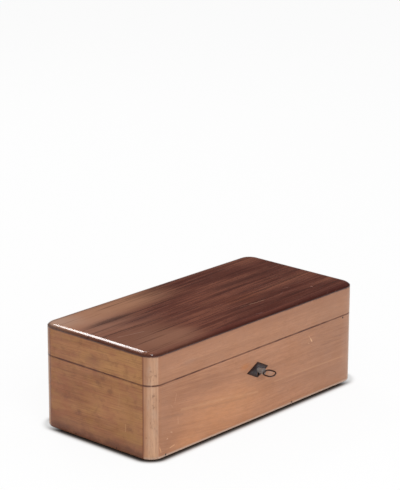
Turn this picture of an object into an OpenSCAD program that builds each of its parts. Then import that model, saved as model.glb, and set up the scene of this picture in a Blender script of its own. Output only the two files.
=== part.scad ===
// Wooden case with a hinged lid, a box lock and its key, fitted inside to hold an instrument lying down.
// X runs along the length, Y from front to back and Z up. The origin is the middle of the underside.

/* [Case] */
// Length over the two ends
case_l = 270; // [250:1:320]
// Depth from front to back
case_d = 128; // [122:1:160]
// Height from the underside to the seam below the lid
case_h = 65; // [60:0.5:80]
// Thickness of the walls
wall_t = 11; // [10.4:0.1:13]
// Thickness of the bottom board
base_t = 4; // [3:0.1:6]
// How far the bottom board is let into the walls
rebate = 5; // [3:0.1:6]
// Radius of the upright corners seen from above
corner_r = 12.5; // [9.5:0.1:16]
// Rounding of the lower edge
bottom_r = 1.5; // [0.5:0.1:2.5]
// Length of a corner post along the front
post_l = 8.7; // [7:0.1:10]
// Length of a corner post along the end
post_d = 9.8; // [7:0.1:10]

/* [Lid] */
// Height of the lid's walls above the seam
lid_h = 25; // [20:0.5:40]
// Thickness of the top panel
top_t = 3; // [2:0.1:5]
// Radius of the curve along the top panel's edge
edge_r = 7; // [6:0.1:9]
// Height of the square edge left below that curve
edge_left = 0.6; // [0.3:0.1:1.2]
// Gap between the case and the closed lid
seam_gap = 0.3; // [0.2:0.05:0.6]
// Slope of the bevels behind the hinge line, which stop the open lid
bevel_deg = 48; // [47.6:0.1:50]

/* [Hinges] */
// Distance of each hinge's middle from the nearer end of the case
hinge_end = 47; // [40:1:75]
// Distance of the hinge axis in from the back face
hinge_inset = 3; // [2.8:0.1:3.2]
// Length of a hinge
leaf_l = 30; // [24:0.5:40]
// Width of a leaf from the hinge axis
leaf_w = 7.2; // [6.8:0.1:7.3]
// Thickness of a leaf
leaf_t = 1.2; // [1:0.05:1.6]
// Outer radius of the knuckles
knuckle_r = 2.5; // [2:0.05:2.7]
// Radius of the hinge pins
hinge_pin_r = 1; // [0.7:0.05:1.3]
// Number of knuckles on a hinge
knuckles = 5; // [3:2:7]
// Gap between neighbouring knuckles
knuckle_gap = 0.2; // [0.1:0.05:0.4]
// Room round the knuckles
knuckle_room = 0.3; // [0.2:0.05:0.4]

/* [Lock] */
// Place of the key's axis along the front
key_x = -1.2; // [-20:0.1:20]
// Depth of the key's axis below the seam
key_drop = 19.8; // [19:0.1:22]
// Depth of the lock from the inner face of the wall
lock_t = 8.5; // [8:0.1:8.8]
// Thickness of the lock's plates
plate_t = 1; // [0.8:0.05:1.2]
// Lock box below the key's axis
lock_below = 7.5; // [7:0.1:12]
// Length of the ears at the lock plate's ends
ear_l = 6; // [5:0.1:8]
// Length of the selvedge plate beyond the lock box at each end
selvedge_over = 8; // [7:0.1:12]
// Thickness of the selvedge plate and of the link plate
selvedge_t = 1.2; // [1:0.05:1.6]
// Thickness of the bolt
bolt_t = 2; // [1.6:0.1:2.2]
// Travel of the bolt
bolt_travel = 8; // [7:0.1:9]
// Reach of the thrown bolt beyond the loop
bolt_past = 2; // [1:0.1:2.4]
// Metal of the bolt left beside its notch and its slot
bolt_rim = 1.2; // [0.8:0.1:2]
// Underside of the bolt above the key's axis
bolt_low = 3.3; // [3:0.1:3.8]
// Height of the bolt's tail
bolt_h = 12; // [10.6:0.1:12.6]
// Height of the bolt's head
head_h = 5; // [4:0.1:5.5]
// Radius of the two guide studs
stud_r = 1.25; // [1:0.05:1.5]
// Distance of the guide studs from each other
stud_step = 6; // [5:0.1:6.5]
// Thickness of the bolt's spring
spring_t = 0.5; // [0.3:0.05:0.7]
// Length of the bolt's spring
spring_l = 15; // [10:0.5:18]
// Width of the bolt's spring
spring_w = 3; // [2:0.1:4]
// Thickness of the link plate's loop
loop_t = 2.5; // [2:0.1:2.8]
// Width of the link plate's loop
loop_w = 4.4; // [4.2:0.1:4.6]
// Height of the bar that closes the loop
loop_bar = 2; // [1.5:0.1:2.5]
// Free room of the loop in front, where it swings as the lid lifts
loop_swing = 1; // [0.8:0.05:1.1]

/* [Escutcheon] */
// Length of the lozenge
lozenge_l = 28.2; // [24:0.1:36]
// Height of the lozenge
lozenge_h = 14.4; // [14:0.1:20]
// Thickness of the lozenge
lozenge_t = 1.2; // [0.8:0.05:2]
// Depth to which the lozenge is let into the wood
lozenge_in = 0.4; // [0.2:0.05:0.6]
// Width of the bevel along the lozenge's edge
lozenge_bevel = 1; // [0.5:0.05:1.4]
// Distance of each fixing pin from the key's axis
lozenge_pin_x = 9.6; // [8:0.1:10.5]
// Width of the keyhole's slot
slot_w = 2.2; // [2.1:0.05:2.6]

/* [Key] */
// Radius of the shank
shank_r = 2.2; // [2:0.05:2.4]
// Distance of the bow's middle from the front face
bow_out = 13.6; // [12:0.1:20]
// Length of the bow along the shank
bow_l = 12.7; // [11.5:0.1:16]
// Width of the bow
bow_w = 9.2; // [8.4:0.1:11.4]
// Radius of the bow's wire
bow_wire_r = 0.65; // [0.55:0.05:1.1]
// Turn of the key from level when the bolt is drawn back
key_rest_deg = 18; // [18:0.5:22]
// Reach of the bit from the key's axis
bit_reach = 5; // [4.6:0.05:5.2]
// Room round the shank in the keyhole
key_room = 0.2; // [0.15:0.05:0.5]
// Room below the bit in the keyhole
bit_room = 0.4; // [0.2:0.05:0.5]
// Thickness of the bit
bit_t = 1.8; // [1.4:0.05:2]
// Width of the bit along the shank
bit_w = 4; // [3:0.1:4.2]
// Width of the cut in the bit
bit_cut = 0.8; // [0.4:0.05:1]
// Radius of the drill pin inside the hollow shank
drill_r = 0.9; // [0.7:0.05:1.1]

/* [Screws and pins] */
// Radius of a screw's shank
screw_r = 0.9; // [0.7:0.05:1]
// Radius of a screw's head
screw_head_r = 1.7; // [1.5:0.05:1.9]
// Depth of a screw's countersunk head
screw_head_h = 0.9; // [0.6:0.05:1]
// Length of a screw
screw_l = 8; // [5.5:0.1:9]
// Length of the short screws behind the lock plate
short_screw_l = 5; // [4:0.1:6]
// Radius of the pins that hold the bottom board
base_pin_r = 0.55; // [0.4:0.05:0.8]
// Length of those pins
base_pin_l = 10; // [8:0.1:14]
// Distance of the left front pin from the left end
base_pin_left = 17; // [17:0.5:40]
// Distance of the right front pin from the right end
base_pin_right = 89; // [40:0.5:100]
// Distance of the pins in each end from the middle of the case
base_pin_end = 24; // [10:0.5:40]
// Radius of the lozenge's pins
small_pin_r = 0.5; // [0.35:0.05:0.7]
// Length of the lozenge's pins
small_pin_l = 2.9; // [1.6:0.1:3]
// Clearance round screws and pins that stay put
snug = 0.04; // [0.02:0.01:0.06]
// Clearance round pins that turn or slide
running = 0.08; // [0.05:0.01:0.1]
// Clearance between a fitting and the cut it is let into
seat_gap = 0.1; // [0.05:0.05:0.2]

/* [Fittings inside] */
// Width of the narrow trough along the back
trough_w = 15; // [12:0.5:20]
// Thickness of the board in front of that trough
divider_t = 4; // [3:0.1:6]
// Height of that board and of its two cross pieces
divider_h = 44; // [30:0.5:50]
// Distance of the cross pieces from the middle of the case
cross_x = 46; // [20:1:70]
// Radius of the instrument's round foot
foot_r = 42; // [36:0.1:42]
// Thickness of the round foot with its step
foot_t = 17; // [12:0.5:22]
// Height of the chocks beside the foot
chock_h = 28; // [20:0.5:34]
// Gap between the two chocks
chock_gap = 24; // [16:0.5:40]
// Thickness of the board that keeps the foot in place
foot_board_t = 6; // [5:0.1:10]
// Radius of the instrument's pillar
pillar_r = 13; // [8:0.1:16]
// Radius of the instrument's stage
stage_r = 36; // [28:0.1:37]
// Thickness of the stage
stage_t = 9; // [5:0.1:14]
// Distance of the stage's middle from the left wall
stage_reach = 100; // [86:1:124]
// Thickness of the cradle's wood on each side of the stage
stage_side = 6; // [5:0.1:10]
// Radius of the instrument's tube
tube_r = 15.5; // [12:0.1:18]
// Distance of the tube's cradle from the left wall
tube_reach = 190; // [174:1:214]
// Length of the tube's cradle and of the block above it
tube_cradle_l = 14; // [10:0.5:24]
// Height of the boards and cradles that hold the instrument, above the bottom board
cradle_h = 38; // [30:0.5:40]
// Thickness of the baize
baize_t = 0.8; // [0.5:0.1:1.5]
// Play round the instrument
play = 0.6; // [0.3:0.1:1]
// Width of the block under the lid
block_w = 50; // [30:1:60]
// Thickness of the pad under that block
pad_t = 3; // [2:0.1:5]

/* [Hidden] */
$fn = 64;

// Half sizes outside and inside
half_l = case_l / 2;
half_d = case_d / 2;
in_x = half_l - wall_t;
in_y = half_d - wall_t;
// Heights: rim of the case, foot of the lid's walls, underside and top of the top panel
seam_z = case_h;
rim_z = seam_z - seam_gap / 2;
lid_z = seam_z + seam_gap / 2;
panel_z = seam_z + lid_h;
top_z = panel_z + top_t;
// Reach of a cut beyond the surface that it opens
over = 1;
// Run of the curve along the top panel's edge
edge_run = sqrt(pow(edge_r, 2) - pow(edge_r - (top_t - edge_left), 2));
// Hinges
hinge_x = half_l - hinge_end;
hinge_y = half_d - hinge_inset;
knuckle_l = leaf_l / knuckles;
plate_edge = knuckle_r + knuckle_room;
// Lock, measured from the inner face of the front wall
key_z = seam_z - key_drop;
lock_mid_y = -in_y - lock_t / 2;
lock_in_y = -in_y - plate_t;
lock_out_y = -in_y - lock_t + plate_t;
lock_top_z = rim_z - selvedge_t;
lock_bottom_z = key_z - lock_below;
// Notch in the bolt, as wide as the path of the bit's corners past the bolt that moves with it
key_turn_deg = 180 - 2 * key_rest_deg;
corner_reach = sqrt(pow(bit_reach, 2) + pow(bit_t / 2, 2));
corner_x = sqrt(pow(corner_reach, 2) - pow(bolt_low, 2));
meet_deg = asin(bolt_low / corner_reach) + atan2(bit_t / 2, bit_reach) - key_rest_deg;
talon_play = 0.8;
talon_x0 = key_x - corner_x + bolt_travel * (1 - meet_deg / key_turn_deg) - talon_play;
talon_x1 = key_x + corner_x + bolt_travel * meet_deg / key_turn_deg + talon_play;
talon_top_z = key_z + bit_reach + talon_play;
// Bolt drawn back, its two guide studs and the slot that slides on them
bolt_play = 0.5;
stud_drop = 4;
stud_in = 2;
stud_x = talon_x0 + stud_in;
stud_z = key_z + bolt_low + bolt_h - stud_drop;
slot_r = stud_r + running;
slot_x1 = stud_x + stud_step + bolt_travel;
tail_x0 = talon_x0 - bolt_rim;
tail_x1 = slot_x1 + slot_r + bolt_rim;
head_top_z = key_z + bolt_low + bolt_h - bolt_play;
head_low_z = head_top_z - head_h;
// Loop of the link plate, which the bolt's tail nearly meets when it is thrown
loop_side = 0.2;
loop_x1 = tail_x0 - bolt_travel - bolt_play;
loop_x0 = loop_x1 - loop_t;
head_x0 = loop_x0 - bolt_past + bolt_travel;
// Lock box round the bolt's travel
lock_x0 = head_x0 - bolt_travel - 2 * bolt_play - plate_t;
lock_x1 = tail_x1 + 2 * bolt_play + plate_t;
// Screws in the lock's ears, below the key's axis
ear_screw_drop = 2;
// Slot across a screw's head
screw_slot_w = 0.5;
screw_slot_h = 0.45;
// Collar of the key, gaps at its tip and at the drill pin's, and place of the cut in the bit
collar_l = 1.2;
collar_r = 0.5;
tip_gap = 0.4;
drill_gap = 0.5;
bit_cut_in = 1.5;
bit_cut_off = 0.1;
// Keyhole
keyhole_r = shank_r + key_room;
keyhole_drop = bit_reach + bit_room;
// Instrument's axis as it lies in the case
axis_y = -(trough_w + divider_t) / 2;
axis_z = base_t + baize_t + foot_r;
divider_y = in_y - trough_w - divider_t;
stage_x = stage_reach - in_x;
tube_x = tube_reach - in_x;
foot_end_x = -in_x + foot_t + 2 * play;

// Plan of the case with its four round corners
module plan_outline() {
    square([case_l - 2 * corner_r, case_d], center = true);
    square([case_l, case_d - 2 * corner_r], center = true);
    for (sx = [-1, 1])
        for (sy = [-1, 1])
            translate([sx * (half_l - corner_r), sy * (half_d - corner_r)])
                circle(corner_r);
}

// Solid with the case's plan whose rim follows the child, a profile from 0 to corner_r across
module rimmed_solid(z0, h) {
    translate([-(half_l - corner_r), -(half_d - corner_r), z0])
        cube([case_l - 2 * corner_r, case_d - 2 * corner_r, h]);
    for (side = [0, 180])
        rotate([0, 0, side]) {
            translate([-(half_l - corner_r), half_d - corner_r, z0])
                rotate([90, 0, 90])
                    linear_extrude(case_l - 2 * corner_r)
                        children();
            translate([half_l - corner_r, half_d - corner_r, z0])
                rotate([90, 0, 0])
                    linear_extrude(case_d - 2 * corner_r)
                        children();
            translate([half_l - corner_r, half_d - corner_r, z0])
                rotate_extrude(angle = 90)
                    children();
            translate([-(half_l - corner_r), half_d - corner_r, z0])
                rotate([0, 0, 90])
                    rotate_extrude(angle = 90)
                        children();
        }
}

module case_profile() {
    difference() {
        square([corner_r, rim_z]);
        difference() {
            translate([corner_r - bottom_r, -over])
                square([bottom_r + over, bottom_r + over]);
            translate([corner_r - bottom_r, bottom_r])
                circle(bottom_r);
        }
    }
}

module panel_profile() {
    intersection() {
        square([corner_r, top_t]);
        union() {
            square([corner_r - edge_run, top_t]);
            translate([corner_r - edge_run, top_t - edge_r])
                circle(edge_r);
        }
    }
}

module case_form() {
    rimmed_solid(0, rim_z)
        case_profile();
}

module lid_form() {
    translate([0, 0, lid_z])
        linear_extrude(panel_z - lid_z)
            plan_outline();
}

// Upright zones that share the walls out among the pieces
module block(x0, x1, y0, y1, z0, z1) {
    translate([x0, y0, z0])
        cube([x1 - x0, y1 - y0, z1 - z0]);
}

module long_wall_zone(sy) {
    span = sy > 0 ? [in_y, half_d + over] : [-half_d - over, -in_y];
    block(-(half_l - post_l), half_l - post_l, span[0], span[1], -over, top_z);
}

module end_wall_zone(sx) {
    outer = sx > 0 ? [half_l - post_l, half_l + over] : [-half_l - over, -(half_l - post_l)];
    inner = sx > 0 ? [in_x, half_l] : [-half_l, -in_x];
    block(outer[0], outer[1], -(half_d - post_d), half_d - post_d, -over, top_z);
    block(inner[0], inner[1], -in_y, in_y, -over, top_z);
}

module post_zone(sx, sy) {
    translate([sx > 0 ? half_l - post_l : -half_l - over, sy > 0 ? half_d - post_d : -half_d - over, -over])
        cube([post_l + over, post_d + over, top_z + over]);
}

module base_form() {
    block(-in_x - rebate, in_x + rebate, -in_y - rebate, in_y + rebate, 0, base_t);
}

// Bevel behind the hinge line, cut from the case (down = -1) or from the lid (down = 1)
module back_bevel(side) {
    run = hinge_inset + over;
    translate([-half_l - over, hinge_y, seam_z])
        rotate([90, 0, 90])
            linear_extrude(case_l + 2 * over)
                polygon([[0, -side * over], [0, 0], [run, side * run * tan(bevel_deg)], [run, -side * over]]);
}

// Countersunk wood screw, its head's top at the origin and its point towards -Z
module screw(l) {
    difference() {
        union() {
            translate([0, 0, -screw_head_h])
                cylinder(h = screw_head_h, r1 = screw_r, r2 = screw_head_r);
            translate([0, 0, -l + screw_r])
                cylinder(h = l - screw_r - screw_head_h, r = screw_r);
            translate([0, 0, -l])
                cylinder(h = screw_r, r1 = 0.1, r2 = screw_r);
        }
        translate([-screw_head_r - over, -screw_slot_w / 2, -screw_slot_h])
            cube([2 * (screw_head_r + over), screw_slot_w, screw_slot_h + over]);
    }
}

module screw_hole(l) {
    translate([0, 0, -screw_head_h])
        cylinder(h = screw_head_h + snug, r1 = screw_r + snug, r2 = screw_head_r + snug);
    translate([0, 0, -l])
        cylinder(h = l, r = screw_r + snug);
}

// Places of the screws: each child is drawn along -Z into the case, or turned the way the screw runs
module at_hinge_screws(side) {
    for (sx = [-1, 1])
        for (step = [-1, 1])
            translate([sx * hinge_x + step * leaf_l * 0.3, hinge_y - (leaf_w + plate_edge) / 2,
                side < 0 ? rim_z : lid_z])
                rotate([side < 0 ? 0 : 180, 0, 0])
                    children();
}

module at_selvedge_screws(side) {
    for (x = [lock_x0 - selvedge_over / 2, lock_x1 + selvedge_over / 2])
        translate([x, lock_mid_y, side < 0 ? rim_z : lid_z])
            rotate([side < 0 ? 0 : 180, 0, 0])
                children();
}

module at_ear_screws() {
    for (x = [lock_x0 - ear_l / 2, lock_x1 + ear_l / 2])
        translate([x, -in_y, key_z - ear_screw_drop])
            rotate([-90, 0, 0])
                children();
}

// Pins through the walls into the edge of the bottom board
module at_base_pins() {
    for (x = [base_pin_left - half_l, half_l - base_pin_right])
        for (sy = [-1, 1])
            translate([x, sy * half_d, base_t / 2])
                rotate([sy > 0 ? 90 : -90, 0, 0])
                    children();
    for (y = [-base_pin_end, base_pin_end])
        for (sx = [-1, 1])
            translate([sx * half_l, y, base_t / 2])
                rotate([0, sx > 0 ? -90 : 90, 0])
                    children();
}

module base_pin(gap) {
    cylinder(h = base_pin_l + gap, r = base_pin_r + gap);
}

// Hinge: the case side is drawn about the hinge axis, and the lid side is its mirror image
module hinge_place(sx, side) {
    translate([sx * hinge_x, hinge_y, seam_z])
        mirror([0, 0, side > 0 ? 1 : 0])
            children();
}

module hinge_cut() {
    rotate([0, 90, 0])
        cylinder(h = leaf_l + 2 * knuckle_room, r = plate_edge, center = true);
    block(-leaf_l / 2 - seat_gap, leaf_l / 2 + seat_gap, -leaf_w - seat_gap, 0,
        -seam_gap / 2 - leaf_t, over);
}

module hinge_leaf(sx, side) {
    first = side < 0 ? 0 : 1;
    plate_z = -seam_gap / 2 - leaf_t;
    color("#c9a24a")
        difference() {
            hinge_place(sx, side)
                difference() {
                    union() {
                        block(-leaf_l / 2, leaf_l / 2, -leaf_w, -plate_edge, plate_z, -seam_gap / 2);
                        for (k = [first:2:knuckles - 1]) {
                            x0 = -leaf_l / 2 + k * knuckle_l + (k == 0 ? 0 : knuckle_gap / 2);
                            x1 = -leaf_l / 2 + (k + 1) * knuckle_l - (k == knuckles - 1 ? 0 : knuckle_gap / 2);
                            block(x0, x1, -plate_edge, 0, plate_z, -seam_gap / 2);
                            translate([x0, 0, 0])
                                rotate([0, 90, 0])
                                    cylinder(h = x1 - x0, r = knuckle_r);
                        }
                    }
                    rotate([0, 90, 0])
                        cylinder(h = leaf_l + 2 * over, r = hinge_pin_r + running, center = true);
                }
            at_hinge_screws(side)
                screw_hole(screw_l);
        }
}

module hinge_pin(sx) {
    color("#b08d3c")
        translate([sx * hinge_x, hinge_y, seam_z])
            rotate([0, 90, 0])
                cylinder(h = leaf_l, r = hinge_pin_r, center = true);
}

module hinge_screws(side) {
    color("#b9a05a")
        at_hinge_screws(side)
            screw(screw_l);
}

// Keyhole along Y: a round hole with a slot below it
module keyhole(y0, y1, gap) {
    translate([key_x, y1, key_z])
        rotate([90, 0, 0])
            cylinder(h = y1 - y0, r = keyhole_r + gap);
    block(key_x - slot_w / 2 - gap, key_x + slot_w / 2 + gap, y0, y1, key_z - keyhole_drop - gap, key_z);
}

// Cuts in the front wall for the lock, its plates, the lozenge and the keyhole
module lock_cuts() {
    block(lock_x0 - seat_gap, lock_x1 + seat_gap,
        -in_y - lock_t, -in_y + over, lock_bottom_z - seat_gap, rim_z + over);
    block(lock_x0 - ear_l - seat_gap, lock_x1 + ear_l + seat_gap,
        -in_y - plate_t, -in_y + over, lock_bottom_z - seat_gap, lock_top_z);
    selvedge_seat(-1);
    keyhole(-half_d - over, -in_y, seat_gap);
    translate([0, lozenge_in - half_d, 0])
        lozenge_prism(over + lozenge_in, seat_gap);
    at_selvedge_screws(-1)
        screw_hole(screw_l);
    at_ear_screws()
        screw_hole(short_screw_l);
    at_lozenge_pins()
        cylinder(h = small_pin_l, r = small_pin_r + snug);
}

module selvedge_seat(side) {
    z = side < 0 ? [lock_top_z, rim_z + over] : [lid_z - over, lid_z + selvedge_t];
    block(lock_x0 - selvedge_over - seat_gap, lock_x1 + selvedge_over + seat_gap,
        -in_y - lock_t, -in_y + over, z[0], z[1]);
}

// Lozenge drawn from the plane y = 0 towards -Y
module lozenge_prism(t, gap) {
    grow = gap * sqrt(pow(lozenge_l, 2) + pow(lozenge_h, 2));
    half_w = lozenge_l / 2 + grow / lozenge_h;
    half_h = lozenge_h / 2 + grow / lozenge_l;
    translate([key_x, 0, key_z])
        rotate([90, 0, 0])
            linear_extrude(t)
                polygon([[-half_w, 0], [0, -half_h], [half_w, 0], [0, half_h]]);
}

module at_lozenge_pins() {
    for (sx = [-1, 1])
        translate([key_x + sx * lozenge_pin_x, lozenge_in - half_d - lozenge_t, key_z])
            rotate([-90, 0, 0])
                children();
}

// Walls of the case
module case_wood(extra) {
    difference() {
        intersection() {
            case_form();
            children();
        }
        base_form();
        if (extra == "back") {
            back_bevel(-1);
            for (sx = [-1, 1])
                hinge_place(sx, -1)
                    hinge_cut();
            at_hinge_screws(-1)
                screw_hole(screw_l);
        }
        if (extra == "bevel")
            back_bevel(-1);
        if (extra == "front")
            lock_cuts();
        at_base_pins()
            base_pin(snug);
    }
}

module case_front_wall() {
    color("#a9744c")
        case_wood("front")
            long_wall_zone(-1);
}

module case_back_wall() {
    color("#a9744c")
        case_wood("back")
            long_wall_zone(1);
}

module case_end_wall(sx) {
    color("#9a6a45")
        case_wood("plain")
            end_wall_zone(sx);
}

module case_post(sx, sy) {
    color("#b98862")
        case_wood(sy > 0 ? "bevel" : "plain")
            post_zone(sx, sy);
}

module base_board() {
    color("#8a5c3a")
        difference() {
            base_form();
            at_base_pins()
                base_pin(snug);
        }
}

module base_pins() {
    color("#2b2420")
        at_base_pins()
            base_pin(0);
}

// Walls and top of the lid
module lid_wood(extra) {
    difference() {
        intersection() {
            lid_form();
            children();
        }
        if (extra == "back") {
            back_bevel(1);
            for (sx = [-1, 1])
                hinge_place(sx, 1)
                    hinge_cut();
            at_hinge_screws(1)
                screw_hole(screw_l);
        }
        if (extra == "bevel")
            back_bevel(1);
        if (extra == "front") {
            selvedge_seat(1);
            at_selvedge_screws(1)
                screw_hole(screw_l);
        }
    }
}

module lid_front_wall() {
    color("#a9744c")
        lid_wood("front")
            long_wall_zone(-1);
}

module lid_back_wall() {
    color("#a9744c")
        lid_wood("back")
            long_wall_zone(1);
}

module lid_end_wall(sx) {
    color("#9a6a45")
        lid_wood("plain")
            end_wall_zone(sx);
}

module lid_post(sx, sy) {
    color("#b98862")
        lid_wood(sy > 0 ? "bevel" : "plain")
            post_zone(sx, sy);
}

module lid_top_panel() {
    color("#6b3423")
        rimmed_solid(panel_z, top_t)
            panel_profile();
}

// Lock
module lock_case() {
    x0 = lock_x0;
    x1 = lock_x1;
    color("#b8964a")
        difference() {
            union() {
                difference() {
                    block(x0, x1, lock_out_y, -in_y, lock_bottom_z, lock_top_z);
                    block(x0 + plate_t, x1 - plate_t, lock_out_y - over, lock_in_y,
                        lock_bottom_z + plate_t, lock_top_z - plate_t);
                }
                block(x0 - ear_l, x1 + ear_l, lock_in_y, -in_y, lock_bottom_z, lock_top_z);
                for (step = [0, stud_step])
                    translate([stud_x + step, lock_in_y, stud_z])
                        rotate([90, 0, 0])
                            cylinder(h = lock_t / 2 - plate_t + bolt_t / 2 + over, r = stud_r);
            }
            loop_way(lock_top_z - plate_t - over, lock_top_z + over);
            at_ear_screws()
                screw_hole(short_screw_l);
            translate([key_x, lock_in_y - over, key_z])
                rotate([-90, 0, 0])
                    cylinder(h = plate_t + 2 * over, r = drill_r + snug);
        }
}

// Way of the link plate's loop through the selvedge and the lock box
module loop_way(z0, z1) {
    block(loop_x0 - bolt_play, loop_x1 + bolt_play,
        lock_mid_y - loop_w / 2 - loop_swing, lock_mid_y + loop_w / 2 + bolt_play, z0, z1);
}

module lock_cap() {
    color("#a88540")
        difference() {
            block(lock_x0, lock_x1, -in_y - lock_t, lock_out_y,
                lock_bottom_z, lock_top_z);
            keyhole(-in_y - lock_t - over, lock_out_y + over, 0);
        }
}

module lock_selvedge() {
    color("#c9a24a")
        difference() {
            block(lock_x0 - selvedge_over, lock_x1 + selvedge_over,
                -in_y - lock_t, -in_y, lock_top_z, rim_z);
            loop_way(lock_top_z - over, rim_z + over);
            at_selvedge_screws(-1)
                screw_hole(screw_l);
        }
}

module lock_bolt() {
    y0 = lock_mid_y - bolt_t / 2;
    y1 = lock_mid_y + bolt_t / 2;
    low_z = key_z + bolt_low;
    color("#8f8f92")
        difference() {
            union() {
                block(tail_x0, tail_x1, y0, y1, low_z, low_z + bolt_h);
                block(head_x0, tail_x0, y0, y1, head_low_z, head_top_z);
            }
            block(talon_x0, talon_x1, y0 - over, y1 + over, low_z - over, talon_top_z);
            block(stud_x, slot_x1, y0 - over, y1 + over, stud_z - slot_r, stud_z + slot_r);
            for (x = [stud_x, slot_x1])
                translate([x, y1 + over, stud_z])
                    rotate([90, 0, 0])
                        cylinder(h = bolt_t + 2 * over, r = slot_r);
        }
}

module lock_spring() {
    x1 = lock_x1 - plate_t;
    z0 = key_z + bolt_low + bolt_h + bolt_play;
    color("#6f7278")
        block(x1 - spring_l, x1, lock_mid_y - spring_w / 2, lock_mid_y + spring_w / 2, z0, z0 + spring_t);
}

module lock_drill_pin() {
    color("#8f8f92")
        translate([key_x, -in_y, key_z])
            rotate([90, 0, 0])
                cylinder(h = lock_t - plate_t - drill_gap, r = drill_r);
}

module lock_screws() {
    color("#b9a05a") {
        at_selvedge_screws(-1)
            screw(screw_l);
        at_ear_screws()
            screw(short_screw_l);
    }
}

// Link plate in the lid, with the loop that the bolt enters
module link_plate() {
    hole_w = bolt_t + 2 * loop_side;
    color("#c9a24a")
        difference() {
            union() {
                block(lock_x0 - selvedge_over, lock_x1 + selvedge_over,
                    -in_y - lock_t, -in_y, lid_z, lid_z + selvedge_t);
                block(loop_x0, loop_x1, lock_mid_y - loop_w / 2, lock_mid_y + loop_w / 2,
                    head_low_z - bolt_play - loop_bar, lid_z + selvedge_t);
            }
            block(loop_x0 - over, loop_x1 + over, lock_mid_y - hole_w / 2, lock_mid_y + hole_w / 2,
                head_low_z - bolt_play, head_top_z + bolt_play);
            at_selvedge_screws(1)
                screw_hole(screw_l);
        }
}

module link_plate_screws() {
    color("#b9a05a")
        at_selvedge_screws(1)
            screw(screw_l);
}

// Lozenge with bevelled edges, let into the front wall
module escutcheon() {
    edge_deg = atan2(lozenge_h, lozenge_l);
    face_y = lozenge_in - half_d - lozenge_t;
    lean = atan2(lozenge_t - lozenge_in, lozenge_bevel);
    color("#3a3230")
        difference() {
            translate([0, lozenge_in - half_d, 0])
                lozenge_prism(lozenge_t, 0);
            for (sx = [-1, 1])
                for (sz = [-1, 1])
                    translate([key_x + sx * lozenge_l / 2, face_y, key_z])
                        rotate([0, sx * sz * edge_deg, 0])
                            translate([0, lozenge_t - lozenge_in, 0])
                                rotate([sz * lean, 0, 0])
                                    block(-lozenge_l, lozenge_l, -2 * lozenge_t, 0,
                                        sz > 0 ? 0 : -lozenge_h, sz > 0 ? lozenge_h : 0);
            keyhole(-half_d - lozenge_t - over, -half_d + lozenge_in + over, 0);
            at_lozenge_pins()
                cylinder(h = small_pin_l, r = small_pin_r + snug);
        }
}

module escutcheon_pins() {
    color("#57504a")
        at_lozenge_pins()
            cylinder(h = small_pin_l, r = small_pin_r);
}

// Key, drawn along -Y with its bow upright, then turned about its axis
module key() {
    tip_y = lock_in_y - tip_gap;
    bow_y = -half_d - bow_out;
    wire_y = bow_l / 2 - bow_w / 2;
    ring_r = bow_w / 2 - bow_wire_r;
    bit_y = lock_mid_y + bit_w / 2;
    cut_y = lock_mid_y + bolt_t / 2 + bit_cut_off;
    color("#b4b3ae")
        translate([key_x, 0, key_z])
            rotate([0, -key_rest_deg, 0])
                difference() {
                    union() {
                        translate([0, tip_y, 0])
                            rotate([90, 0, 0])
                                cylinder(h = tip_y - (bow_y + bow_l / 2 - bow_wire_r), r = shank_r);
                        translate([0, bow_y + bow_l / 2 + collar_l, 0])
                            rotate([90, 0, 0])
                                cylinder(h = collar_l, r = shank_r + collar_r);
                        block(0, bit_reach, bit_y - bit_w, bit_y, -bit_t / 2, bit_t / 2);
                        for (s = [-1, 1]) {
                            translate([0, bow_y + s * wire_y, 0])
                                rotate([0, 0, s > 0 ? 0 : 180])
                                    rotate_extrude(angle = 180)
                                        translate([ring_r, 0])
                                            circle(bow_wire_r);
                            translate([s * ring_r, bow_y + wire_y, 0])
                                rotate([90, 0, 0])
                                    cylinder(h = 2 * wire_y, r = bow_wire_r);
                        }
                    }
                    translate([0, tip_y + over, 0])
                        rotate([90, 0, 0])
                            cylinder(h = lock_t - plate_t, r = drill_r + running);
                    block(bit_reach - bit_cut_in, bit_reach + over, cut_y, cut_y + bit_cut, -bit_t, bit_t);
                }
}

// Trough lying along X
module along_x(x0, x1, r) {
    translate([x0, axis_y, axis_z])
        rotate([0, 90, 0])
            cylinder(h = x1 - x0, r = r);
}

// Chocks on both sides of the round foot
module foot_chock(sy) {
    y = sy > 0 ? [axis_y + chock_gap / 2, divider_y] : [-in_y, axis_y - chock_gap / 2];
    color("#a06d46")
        difference() {
            block(-in_x, foot_end_x, y[0], y[1], base_t, base_t + chock_h);
            along_x(-in_x - over, foot_end_x + over, foot_r + play);
        }
}

// Board with a round notch for the pillar
module foot_board() {
    color("#a06d46")
        difference() {
            block(foot_end_x, foot_end_x + foot_board_t, -in_y, divider_y, base_t, base_t + cradle_h);
            along_x(foot_end_x - over, foot_end_x + foot_board_t + over, pillar_r + play);
        }
}

module stage_cradle() {
    x0 = stage_x - stage_t / 2 - play;
    x1 = stage_x + stage_t / 2 + play;
    color("#a06d46")
        difference() {
            block(x0 - stage_side, x1 + stage_side, -in_y, divider_y, base_t, base_t + cradle_h);
            along_x(x0, x1, stage_r + play + baize_t);
            along_x(x0 - stage_side - over, x1 + stage_side + over, pillar_r + play);
        }
}

module baize_lining(x0, x1, r, top) {
    color("#2f5a3c")
        difference() {
            along_x(x0, x1, r + baize_t);
            along_x(x0 - over, x1 + over, r);
            block(x0 - over, x1 + over, -half_d, half_d, top, top_z + half_d);
        }
}

module stage_baize() {
    baize_lining(stage_x - stage_t / 2 - play, stage_x + stage_t / 2 + play, stage_r + play,
        base_t + cradle_h);
}

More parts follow.
